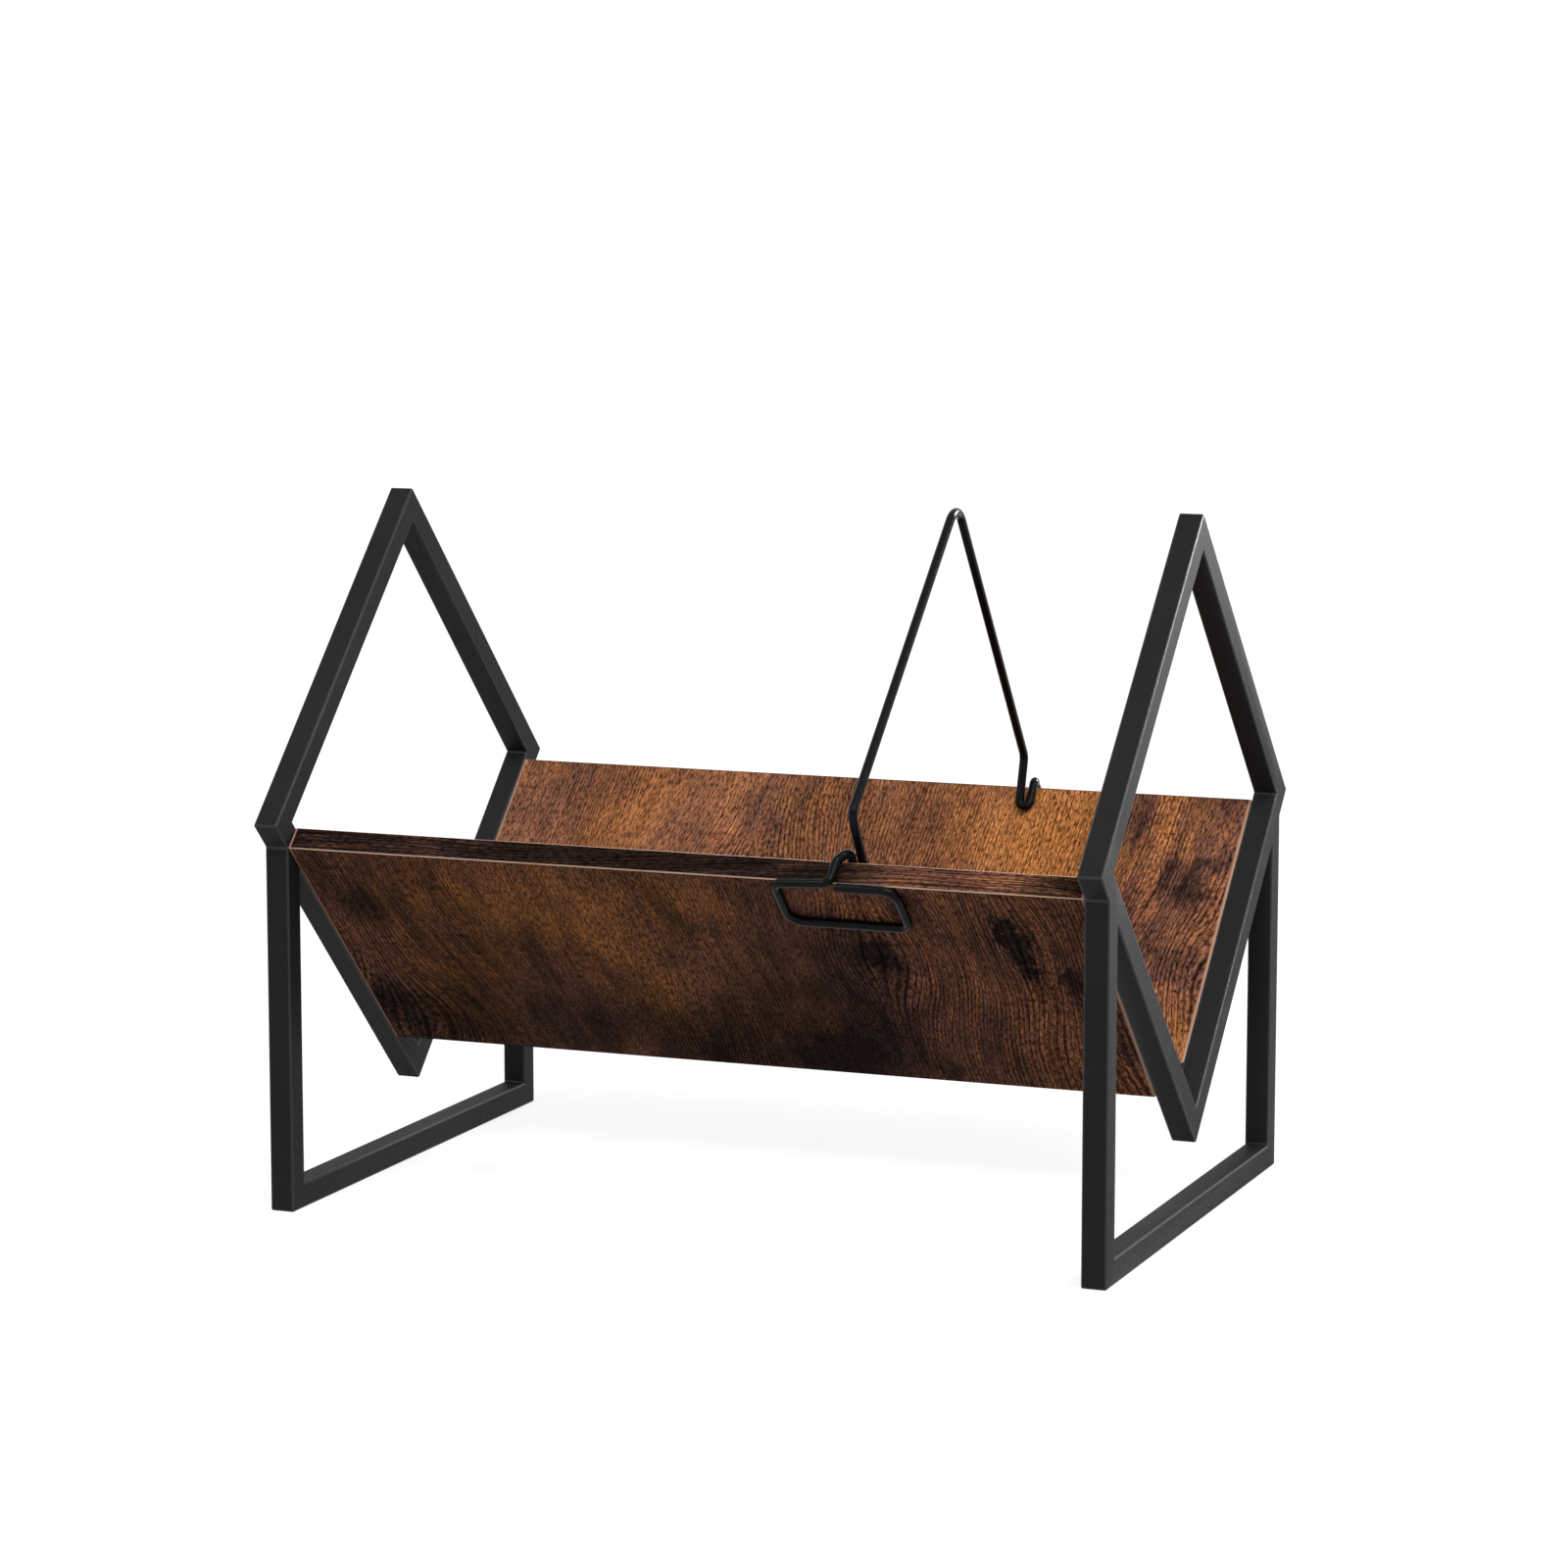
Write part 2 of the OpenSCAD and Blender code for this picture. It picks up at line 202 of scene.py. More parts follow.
# a bolt passes each lower tube at two places: the outer wall has the access
# hole of its head and the inner wall the hole of its shank
bolts_low, bolts_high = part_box("left_bolts")
HEAD_R = 0.0038
ACCESS_R = 0.0042
SHANK_HOLE_R = 0.0022
POCKET_R = 0.005
BAR_SIDES = 48
# how far a cutter runs past the face that it cuts
OVERRUN = 0.001
UPPER_FIXING = Vector((OUTER_X, HEAD_R - bolts_high.y, bolts_high.z - HEAD_R))
FIXING_DROP = UPPER_FIXING.z - bolts_low.z - HEAD_R
LOWER_FIXING = UPPER_FIXING + Vector((0, FIXING_DROP, -FIXING_DROP))


def lathe_start(name, radius, length, start_x):
    """A round bar along X, open for editing, that starts at the upper front fixing."""
    bpy.ops.object.select_all(action="DESELECT")
    bpy.ops.mesh.primitive_cylinder_add(
        vertices=BAR_SIDES, radius=radius, depth=length, rotation=(0, QUARTER_TURN, 0),
        location=UPPER_FIXING + Vector((start_x + length / 2, 0, 0)),
    )
    return start_piece(name)


def step_on(radius, length):
    """Carries the bar's inner end on along X at another radius."""
    mesh = bmesh.from_edit_mesh(bpy.context.object.data)
    end_x = max(vertex.co.x for vertex in mesh.verts)
    select_faces(lambda centre, normal: normal.x > FACING and centre.x > end_x - OVERRUN / 10)
    rim = next(face for face in mesh.faces if face.select).verts[0].co
    reach = (Vector((UPPER_FIXING.x, rim.y, rim.z)) - UPPER_FIXING).length
    centre = (end_x, UPPER_FIXING.y, UPPER_FIXING.z)
    bpy.ops.mesh.extrude_region_move(TRANSFORM_OT_translate={"value": (0, 0, 0)})
    bpy.ops.transform.resize(value=(1, radius / reach, radius / reach), center_override=centre)
    bpy.ops.mesh.extrude_region_move(TRANSFORM_OT_translate={"value": (length, 0, 0)})


def at_fixings(source, name):
    """The piece at the upper front fixing, repeated at all four of an end, as one object."""
    down = Matrix.Translation(LOWER_FIXING - UPPER_FIXING)
    low = duplicate(source, name, down)
    behind = [duplicate(front, name, MIRROR_Y) for front in (source, low)]
    return join([source, low] + behind)


drill = lathe_start("tube_drill", ACCESS_R, OVERRUN + TUBE_WALL, -OVERRUN)
step_on(POCKET_R, TUBE - 2 * TUBE_WALL)
step_on(SHANK_HOLE_R, TUBE_WALL + OVERRUN)
bpy.ops.mesh.select_all(action="SELECT")
bpy.ops.mesh.normals_make_consistent(inside=False)
bpy.ops.object.mode_set(mode="OBJECT")
cut_out(left_frame, at_fixings(drill, "tube_drill"))
shade(left_frame)
right_frame = duplicate(left_frame, "right_end_frame", MIRROR_X)


def put(tree, kind, plugs=None, **settings):
    """Adds a shader node, and plugs sockets or plain values into its inputs."""
    made = tree.nodes.new("ShaderNode" + kind)
    for key, value in settings.items():
        setattr(made, key, value)
    for plug, value in (plugs or {}).items():
        if isinstance(value, bpy.types.NodeSocket):
            tree.links.new(value, made.inputs[plug])
        else:
            made.inputs[plug].default_value = value
    return made


def reckon(tree, operation, *terms, clamp=False):
    """The result of a Math node on sockets or plain numbers."""
    return put(tree, "Math", dict(enumerate(terms)), operation=operation, use_clamp=clamp).outputs[0]


def noise(tree, place, stretch, detail=2, roughness=0.5, output="Fac"):
    """Noise, around 0.5, on a place whose axes are stretched (in cells per metre)."""
    cells = put(tree, "VectorMath", {0: place, 1: stretch}, operation="MULTIPLY").outputs[0]
    texture = put(tree, "TexNoise", {"Vector": cells, "Scale": 1, "Detail": detail, "Roughness": roughness})
    return texture.outputs[output]


def ease(tree, value, start, end, low=0, high=1):
    """A value carried smoothly from one range to another."""
    plugs = {"Value": value, "From Min": start, "From Max": end, "To Min": low, "To Max": high}
    return put(tree, "MapRange", plugs, interpolation_type="SMOOTHSTEP").outputs[0]


def vary(tree, value, low, high):
    """Noise, most of which lies from 0.2 to 0.8, carried smoothly to a range of its own."""
    return ease(tree, value, 0.2, 0.8, low, high)


def tint(tree, colour, factor):
    """A colour made lighter or darker by a factor that changes over the surface."""
    return put(tree, "VectorMath", {0: colour, "Scale": factor}, operation="SCALE").outputs[0]


def shader_group(name, inputs, outputs):
    """A node group with named sockets; returns it with its inner input and output sockets."""
    group = bpy.data.node_groups.new(name, "ShaderNodeTree")
    for direction, sockets in (("INPUT", inputs), ("OUTPUT", outputs)):
        for label, kind in sockets.items():
            group.interface.new_socket(name=label, in_out=direction, socket_type="NodeSocket" + kind)
    return group, group.nodes.new("NodeGroupInput").outputs, group.nodes.new("NodeGroupOutput").inputs


def new_finish(name, constants):
    """A material with a Principled shader that holds the finish's constants."""
    finish = bpy.data.materials.new(name)
    finish.use_nodes = True
    shader = finish.node_tree.nodes["Principled BSDF"]
    for label, value in constants.items():
        shader.inputs[label].default_value = value
    return finish.node_tree, shader, finish


def connect(tree, source, shader, strength, depth):
    """Feeds a group's colour, roughness and height to the shader."""
    bump = put(tree, "Bump", {"Height": source.outputs["Height"], "Strength": strength, "Distance": depth})
    tree.links.new(source.outputs["Color"], shader.inputs["Base Color"])
    tree.links.new(source.outputs["Roughness"], shader.inputs["Roughness"])
    tree.links.new(bump.outputs["Normal"], shader.inputs["Normal"])


# baked powder: a fine orange peel with grit in it, a little uneven in tone
PEEL_DEPTH = 0.0001
GRIT_SHARE = 0.4
powder, powder_in, powder_out = shader_group(
    "powder_coat", {"Vector": "Vector", "Color": "Color", "Roughness": "Float"},
    {"Color": "Color", "Roughness": "Float", "Height": "Float"},
)
peel = noise(powder, powder_in["Vector"], (620, 620, 620))
grit = noise(powder, powder_in["Vector"], (2600, 2600, 2600), 1)
drift = noise(powder, powder_in["Vector"], (16, 16, 16))
tone = reckon(powder, "MULTIPLY", vary(powder, drift, 0.8, 1.2), vary(powder, grit, 0.75, 1.25))
matt = reckon(powder, "ADD", powder_in["Roughness"], vary(powder, peel, -0.06, 0.06))
height = reckon(powder, "ADD", peel, reckon(powder, "MULTIPLY", grit, GRIT_SHARE))
powder.links.new(tint(powder, powder_in["Color"], tone), powder_out["Color"])
powder.links.new(matt, powder_out["Roughness"])
powder.links.new(height, powder_out["Height"])


def powder_finish(name, colour, roughness, specular, bumpiness):
    """A powder coat of one colour and gloss."""
    tree, shader, finish = new_finish(name, {"Specular IOR Level": specular})
    plugs = {
        "Vector": put(tree, "TexCoord").outputs["Object"], "Color": (*colour, 1), "Roughness": roughness,
    }
    connect(tree, put(tree, "Group", plugs, node_tree=powder), shader, bumpiness, PEEL_DEPTH)
    return finish


# the tubes' arrises get a lighter, glossier coat: its lighter colour is a painted highlight along each edge
tube_coat = powder_finish(
    "matte_black_powder", (0.011, 0.011, 0.0115), roughness=0.6, specular=0.115, bumpiness=0.35,
)
arris_highlight_coat = powder_finish(
    "black_powder_painted_highlight", (0.02, 0.02, 0.0205), roughness=0.46, specular=0.26, bumpiness=0.15,
)
for end_frame, end in ((left_frame, "left"), (right_frame, "right")):
    end_frame.data.materials[0] = tube_coat
    # the roundings take the lighter coat, a painted highlight along the tubes' edges
    end_frame.data.materials[1] = arris_highlight_coat
    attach(end_frame, "stand")
    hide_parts(*(f"{end}_{tube}" for tube in (
        "lower_front_tube", "upper_front_tube", "upper_back_tube", "lower_back_tube",
        "front_leg", "back_leg", "floor_rail",
    )))

# ----------------------------------------------------------------- fixings
# Zinc-plated button-head bolts run through the lower tubes into threaded
# inserts in the ends of the boards. Their shapes stay as loaded, and get the
# bluish, slightly cloudy look of plated steel.

ZINC_TONES = ((0.3, (0.42, 0.44, 0.46)), (0.7, (0.66, 0.67, 0.66)))
SCRATCH_DEPTH = 0.00005

tree, shader, zinc = new_finish("zinc_plate", {"Metallic": 1, "Specular IOR Level": 0.5})
place = put(tree, "TexCoord").outputs["Object"]
cloud = noise(tree, place, (260, 260, 260), 3)
zinc_tones = put(tree, "ValToRGB", {"Fac": cloud})
for stop, (position, colour) in zip(zinc_tones.color_ramp.elements, ZINC_TONES):
    stop.position = position
    stop.color = (*colour, 1)
tree.links.new(zinc_tones.outputs["Color"], shader.inputs["Base Color"])
tree.links.new(vary(tree, cloud, 0.24, 0.42), shader.inputs["Roughness"])
scratch = noise(tree, place, (4000, 900, 900), 1)
scratches = put(tree, "Bump", {"Height": scratch, "Strength": 0.15, "Distance": SCRATCH_DEPTH})
tree.links.new(scratches.outputs["Normal"], shader.inputs["Normal"])
for fixing in ("left_bolts", "right_bolts", "front_board_inserts", "back_board_inserts"):
    frame["nodes"][fixing].material_slots[0].material = zinc

# ------------------------------------------------------------ access plugs
# A moulded black plug snaps into each access hole, flush with the tube: a
# round cap on a thin skirt, with a bead that holds it behind the tube's wall.

PLUG_FIT = 0.00002
PLUG_R = ACCESS_R - PLUG_FIT
PLUG_DEPTH = 0.0038
PLUG_SKIRT = 0.0008
PLUG_BEAD = 0.00025
BEAD_FIT = 0.00005
BEAD_START = TUBE_WALL + BEAD_FIT
BEAD_WIDTH = 0.0006

left_plugs = lathe_start("left_access_plugs", PLUG_R, PLUG_DEPTH, 0)
select_faces(lambda centre, normal: normal.x > FACING)
bpy.ops.mesh.inset(thickness=PLUG_SKIRT)
bpy.ops.mesh.extrude_region_move(TRANSFORM_OT_translate={"value": (TUBE_WALL - PLUG_DEPTH, 0, 0)})
for cut_x in (BEAD_START, BEAD_START + BEAD_WIDTH):
    bpy.ops.mesh.select_all(action="SELECT")
    bpy.ops.mesh.bisect(plane_co=(OUTER_X + cut_x, 0, 0), plane_no=(1, 0, 0))
select_faces(
    lambda centre, normal: abs(normal.x) < 1 - FACING
    and BEAD_START < centre.x - OUTER_X < BEAD_START + BEAD_WIDTH
    and (Vector((OUTER_X, centre.y, centre.z)) - UPPER_FIXING).length > PLUG_R - PLUG_SKIRT / 2
)
bpy.ops.mesh.extrude_region_shrink_fatten(TRANSFORM_OT_shrink_fatten={"value": PLUG_BEAD})
bpy.ops.object.mode_set(mode="OBJECT")
at_fixings(left_plugs, "left_access_plugs")
shade(left_plugs)
right_plugs = duplicate(left_plugs, "right_access_plugs", MIRROR_X)

plug_plastic = powder_finish(
    "black_moulded_plastic", (0.01, 0.01, 0.0105), roughness=0.55, specular=0.12, bumpiness=0.3,
)
for plugs, end in ((left_plugs, "left"), (right_plugs, "right")):
    plugs.data.materials.clear()
    plugs.data.materials.append(plug_plastic)
    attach(plugs, "stand")
    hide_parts(f"{end}_plugs")

# ------------------------------------------------------------------ boards
# Two 13 mm particle boards with a printed and embossed rustic wood laminate on
# both faces. They butt between the end frames, flush with the tubes, and each
# end is bored for two threaded inserts.

BOARD_HALF = -OUTER_X - TUBE
BOARD_TOP = 0.0175
BOARD_SETBACK = 0.0396
BOARD_BOTTOM = DIAMOND_SIDE - BOARD_SETBACK
BAND = 0.0008
BOARD_ARRIS = 0.0005
INSERT_BORE_R = 0.00405
INSERT_BORE_DEPTH = 0.013
ROOT_HALF = math.sqrt(0.5)


def on_slope(x, down, deep):
    """Point on the front slope: down it from the side corner, and deep in from the tubes' outer face."""
    return Vector((x, (down + deep) * ROOT_HALF - DIAMOND_REACH, DIAMOND_Z + (deep - down) * ROOT_HALF))


def slope_place(point):
    """Distances of a point down and into the front slope."""
    out, up = point.y + DIAMOND_REACH, point.z - DIAMOND_Z
    return (out - up) * ROOT_HALF, (out + up) * ROOT_HALF


def start_slab(name, top, bottom):
    """A slab of the board's length and thickness between two distances down the slope."""
    bpy.ops.object.select_all(action="DESELECT")
    bpy.ops.mesh.primitive_cube_add(
        size=1, location=on_slope(0, (top + bottom) / 2, TUBE / 2), rotation=(QUARTER_TURN / 2, 0, 0),
        scale=(2 * BOARD_HALF, TUBE, bottom - top),
    )
    return start_piece(name)


def chamfer_edges(chosen):
    """In edit mode, chamfers the edges whose middle passes the test; the cut gets the second material."""
    mesh = bmesh.from_edit_mesh(bpy.context.object.data)
    bpy.ops.mesh.select_all(action="DESELECT")
    bpy.ops.mesh.select_mode(type="EDGE")
    for edge in mesh.edges:
        middle = (edge.verts[0].co + edge.verts[1].co) / 2
        edge.select_set(chosen(abs(middle.x), *slope_place(middle)))
    bmesh.update_edit_mesh(bpy.context.object.data)
    bpy.ops.mesh.bevel(offset=BOARD_ARRIS, segments=1, affect="EDGES", material=1)
    bpy.ops.object.mode_set(mode="OBJECT")


front_panel = start_slab("front_board_panel", BOARD_TOP + BAND, BOARD_BOTTOM - BAND)
front_panel.data.materials.append(None)
front_panel.data.materials.append(None)
chamfer_edges(lambda x, down, deep: x > BOARD_HALF - OVERRUN and abs(deep - TUBE / 2) > TUBE / 4)

insert_drill = lathe_start("insert_drill", INSERT_BORE_R, INSERT_BORE_DEPTH + OVERRUN, TUBE - OVERRUN)
bpy.ops.object.mode_set(mode="OBJECT")
low_drill = duplicate(insert_drill, "insert_drill", Matrix.Translation(LOWER_FIXING - UPPER_FIXING))
far_drills = [duplicate(near, "insert_drill", MIRROR_X) for near in (insert_drill, low_drill)]
cut_out(front_panel, join([insert_drill, low_drill] + far_drills))
shade(front_panel)
back_panel = duplicate(front_panel, "back_board_panel", MIRROR_Y)

# the swerve of the grain round a knot: it is pushed aside along X, most at 0.7
# of the knot's reach, and its growth lines show more towards the knot's middle
PUSH_PEAK = 0.43
push, push_in, push_out = shader_group(
    "knot_push", {"Vector": "Vector", "Centre": "Vector", "Reach": "Vector", "Push": "Float"},
    {"Push": "Float", "Near": "Float"},
)
local = put(
    push, "Mapping", {"Vector": push_in["Vector"], "Location": push_in["Centre"], "Scale": push_in["Reach"]},
    vector_type="TEXTURE",
).outputs[0]
square = put(push, "VectorMath", {0: local, 1: local}, operation="DOT_PRODUCT").outputs["Value"]
fade = reckon(push, "EXPONENT", reckon(push, "MULTIPLY", square, -1))
side = reckon(push, "MULTIPLY", put(push, "SeparateXYZ", {0: local}).outputs["X"], fade)
aside = reckon(push, "MULTIPLY", side, reckon(push, "DIVIDE", push_in["Push"], PUSH_PEAK))
push.links.new(aside, push_out["Push"])
push.links.new(fade, push_out["Near"])

# one soft-edged oval spot: of stain and of gold on the faces, of painted shade on the edge bands
spot, spot_in, spot_out = shader_group(
    "stain_and_shade_spot",
    {"Vector": "Vector", "Centre": "Vector", "Reach": "Vector", "Turn": "Float"}, {"Mask": "Float"},
)
turned = put(spot, "CombineXYZ", {"Z": spot_in["Turn"]}).outputs[0]
oval = {
    "Vector": spot_in["Vector"], "Location": spot_in["Centre"],
    "Rotation": turned, "Scale": spot_in["Reach"],
}
local = put(spot, "Mapping", oval, vector_type="TEXTURE").outputs[0]
distance = put(spot, "VectorMath", {0: local}, operation="LENGTH").outputs["Value"]
spot.links.new(ease(spot, distance, 0.3, 1.15, 1, 0), spot_out["Mask"])

# the print: growth lines, streaks, fibres and pores along Y, on clouds of brown
# stain; each sheet has a print of its own, and so has each face of a board
GROWTH_PITCH = 0.0021
SHEETS_PER_METRE = 300
grain, grain_in, grain_out = shader_group(
    "rustic_grain",
    {
        "Vector": "Vector", "Stain and Shade": "Float", "Gold": "Float",
        "Push": "Float", "Lines": "Float", "Sheet": "Float",
    },
    {"Color": "Color", "Roughness": "Float", "Height": "Float"},
)
parts = put(grain, "SeparateXYZ", {0: grain_in["Vector"]}).outputs
layer = reckon(grain, "ADD", grain_in["Sheet"], reckon(grain, "MULTIPLY", parts["Z"], SHEETS_PER_METRE))
flat_place = put(grain, "CombineXYZ", {"X": parts["X"], "Y": parts["Y"], "Z": layer}).outputs[0]


def around_zero(tree, value, amount):
    """Noise, which lies around 0.5, brought around zero and made larger or smaller."""
    return reckon(tree, "MULTIPLY", reckon(tree, "SUBTRACT", value, 0.5), amount)


drift = noise(grain, flat_place, (6, 2.2, 1), 1)
waver = noise(grain, flat_place, (26, 9, 1), 1)
across = reckon(grain, "SUBTRACT", parts["X"], grain_in["Push"])
across = reckon(grain, "ADD", across, around_zero(grain, drift, 0.06))
across = reckon(grain, "ADD", across, around_zero(grain, waver, 0.009))
flow = put(grain, "CombineXYZ", {"X": across, "Y": parts["Y"], "Z": layer}).outputs[0]
uneven = reckon(grain, "MULTIPLY", noise(grain, flow, (90, 3, 1), 1), 2)
rings = reckon(grain, "FRACT", reckon(grain, "ADD", reckon(grain, "DIVIDE", across, GROWTH_PITCH), uneven))
ring_line = reckon(grain, "MULTIPLY", ease(grain, rings, 0.45, 0.85), ease(grain, rings, 0.88, 1, 1, 0))
ring_show = ease(grain, noise(grain, flat_place, (17, 9, 1), 2), 0.4, 0.62, 0.2, 0.9)
ring_show = reckon(grain, "ADD", ring_show, grain_in["Lines"], clamp=True)
ring_break = ease(grain, noise(grain, flow, (420, 12, 1), 1), 0.3, 0.56, 0.6, 1)
ring_line = reckon(grain, "MULTIPLY", ring_line, reckon(grain, "MULTIPLY", ring_show, ring_break))
fibre = noise(grain, flow, (1150, 240, 1), 2, 0.6)
dash = noise(grain, flow, (1150, 18, 1), 1)
pore = ease(grain, noise(grain, flow, (1500, 330, 1), 1), 0.54, 0.66)
streak = noise(grain, flow, (300, 11, 1), 2, 0.6)
cloud = noise(grain, flat_place, (14, 10, 1), 3, 0.6)
mottle = noise(grain, flow, (90, 34, 1), 3, 0.65)
stain_and_shade = reckon(grain, "ADD", around_zero(grain, cloud, 0.8), around_zero(grain, mottle, 0.75))
streakiness = reckon(grain, "ADD", reckon(grain, "MULTIPLY", grain_in["Lines"], 0.35), 0.6)
stain_and_shade = reckon(grain, "ADD", stain_and_shade, reckon(grain, "MULTIPLY", around_zero(grain, streak, 0.6), streakiness))
# the stain input also carries the painted shade of the edge bands
stain_and_shade = reckon(grain, "ADD", stain_and_shade, grain_in["Stain and Shade"], clamp=True)
BROWNS = (
    (0.0, (0.5, 0.19, 0.065)), (0.3, (0.3, 0.117, 0.051)), (0.5, (0.175, 0.074, 0.042)),
    (0.7, (0.092, 0.042, 0.025)), (1.0, (0.026, 0.0145, 0.0105)),
)
browns = put(grain, "ValToRGB", {"Fac": stain_and_shade})
stops = browns.color_ramp.elements
stops.remove(stops[1])
for position, brown in BROWNS:
    stop = stops[0] if position == 0 else stops.new(position)
    stop.color = (*brown, 1)


def mix_colours(tree, share, first, second, blend="MIX"):
    """Two colours mixed by a share that changes over the surface."""
    return put(tree, "Mix", {0: share, 6: first, 7: second}, data_type="RGBA", blend_type=blend).outputs[2]


DULL_CAST = (0.97, 1.03, 1.26, 1)
GOLD_CAST = (1.0, 1.02, 0.78, 1)
LINE_CAST = (0.3, 0.24, 0.25, 1)
warmth = ease(grain, noise(grain, flat_place, (20, 12, 1), 2), 0.38, 0.62, 0, 0.5)
warmth = reckon(grain, "ADD", warmth, grain_in["Gold"], clamp=True)
cast = mix_colours(grain, warmth, DULL_CAST, GOLD_CAST)
wood = mix_colours(grain, 1.0, browns.outputs["Color"], cast, "MULTIPLY")
wood = tint(grain, wood, ease(grain, fibre, 0.34, 0.6, 0.34, 1.28))
dash_depth = reckon(grain, "MULTIPLY", ease(grain, dash, 0.46, 0.62, 0, -0.56), streakiness)
wood = tint(grain, wood, reckon(grain, "ADD", dash_depth, 1.13))
wood = mix_colours(grain, ring_line, wood, mix_colours(grain, 1.0, wood, LINE_CAST, "MULTIPLY"))
wood = tint(grain, wood, ease(grain, pore, 0, 1, 1.1, 0.4))
grain.links.new(wood, grain_out["Color"])
matt = ease(grain, fibre, 0.25, 0.75, 0.52, 0.4)
matt = reckon(grain, "ADD", matt, reckon(grain, "MULTIPLY", ring_line, 0.08))
grain.links.new(matt, grain_out["Roughness"])
relief = reckon(grain, "MULTIPLY", fibre, 0.8)
relief = reckon(grain, "SUBTRACT", relief, reckon(grain, "MULTIPLY", ring_line, 0.5))
relief = reckon(grain, "SUBTRACT", relief, reckon(grain, "MULTIPLY", pore, 0.4))
grain.links.new(relief, grain_out["Height"])

MM = 0.001
EMBOSSING_DEPTH = 0.00018
RAGGED_REACH = (0.024, 0.034, 0)
# width, strength and colour of a painted highlight along each end of a board
END_HIGHLIGHT_WIDTH = 0.0018
END_HIGHLIGHT_SHARE = 0.85
END_HIGHLIGHT_COLOUR = (0.55, 0.28, 0.19, 1)
ALONG = Vector((1, 0, 0))
DOWN = Vector((0, ROOT_HALF, -ROOT_HALF))
DEEP = Vector((0, ROOT_HALF, ROOT_HALF))


def print_place(tree, axes, behind):
    """Place on a board's print: its axes, from the middle of the board's outer top arris."""
    turn = Matrix(axes)
    plugs = {
        "Vector": put(tree, "TexCoord").outputs["Object"], "Location": -(turn @ on_slope(0, BOARD_TOP, 0)),
        "Rotation": turn.to_euler(), "Scale": (1, -1 if behind else 1, 1),
    }
    return put(tree, "Mapping", plugs, vector_type="POINT").outputs[0]


def lay(tree, group, vector, deep, centre, reach, **own):
    """Lays one spot or knot, of a middle and a reach in millimetres, on a face; gives what it puts out."""
    plugs = {
        "Vector": vector, "Centre": (centre[0] * MM, centre[1] * MM, deep),
        "Reach": (reach[0] * MM, reach[1] * MM, TUBE / 2),
    }
    return put(tree, "Group", {**plugs, **own}, node_tree=group).outputs


def laminate_finish(name, axes, sheet, behind, base, lines, faces):
    """One print of the rustic laminate, at a base tone and a strength of lines.

    A face is its depth in the board, its spots of stain (of painted shade on the edge bands) and of
    gold, each (middle, reach, turn, strength), and its knots, each (middle, reach, push). Middles and
    reaches are in millimetres along the print's own two axes.
    """
    tree, shader, finish = new_finish(name, {"Specular IOR Level": 0.005})
    place = print_place(tree, axes, behind)
    shake = noise(tree, place, (110, 80, 110), 3, 0.6, "Color")
    shake = put(tree, "VectorMath", {0: shake, 1: (0.5, 0.5, 0.5)}, operation="SUBTRACT").outputs[0]
    shake = put(tree, "VectorMath", {0: shake, 1: RAGGED_REACH}, operation="MULTIPLY").outputs[0]
    ragged = put(tree, "VectorMath", {0: place, 1: shake}, operation="ADD").outputs[0]
    totals = {"Stain and Shade": base, "Gold": 0.0, "Push": 0.0, "Lines": lines}
    for deep, stains_and_shade, golds, knots in faces:
        for label, spots in (("Stain and Shade", stains_and_shade), ("Gold", golds)):
            for centre, reach, turn, strength in spots:
                mask = lay(tree, spot, ragged, deep, centre, reach, Turn=turn)["Mask"]
                share = reckon(tree, "MULTIPLY", mask, strength)
                totals[label] = reckon(tree, "ADD", totals[label], share)
        for centre, reach, shift in knots:
            swerve = lay(tree, push, place, deep, centre, reach, Push=shift * MM)
            totals["Push"] = reckon(tree, "ADD", totals["Push"], swerve["Push"])
            totals["Lines"] = reckon(tree, "ADD", totals["Lines"], swerve["Near"])
    wood = put(tree, "Group", {"Vector": place, "Sheet": sheet, **totals}, node_tree=grain)
    connect(tree, wood, shader, 0.6, EMBOSSING_DEPTH)
    # a pale band along each end of the board is a painted highlight of the end's arris
    along = put(tree, "SeparateXYZ", {0: put(tree, "TexCoord").outputs["Object"]}).outputs["X"]
    end = reckon(tree, "ABSOLUTE", along)
    end_highlight = ease(tree, end, BOARD_HALF - END_HIGHLIGHT_WIDTH, BOARD_HALF - END_HIGHLIGHT_WIDTH / 2, 0, END_HIGHLIGHT_SHARE)
    highlit_wood = mix_colours(tree, end_highlight, wood.outputs["Color"], END_HIGHLIGHT_COLOUR)
    tree.links.new(highlit_wood, shader.inputs["Base Color"])
    return finish


# the arrises show the laminate's light core as a thin line, painted lighter still as a highlight along each
# edge
CORE_AND_HIGHLIGHT_DARK = (0.36, 0.22, 0.15, 1)
CORE_AND_HIGHLIGHT_LIGHT = (0.66, 0.46, 0.34, 1)
tree, shader, edge_core_and_highlight = new_finish("laminate_edge_core_and_highlight", {"Specular IOR Level": 0.4})
place = put(tree, "TexCoord").outputs["Object"]
core_and_highlight = mix_colours(tree, noise(tree, place, (60, 60, 60), 3), CORE_AND_HIGHLIGHT_DARK, CORE_AND_HIGHLIGHT_LIGHT)
core_matt = vary(tree, noise(tree, place, (900, 900, 900), 1), 0.4, 0.6)
tree.links.new(core_and_highlight, shader.inputs["Base Color"])
tree.links.new(core_matt, shader.inputs["Roughness"])

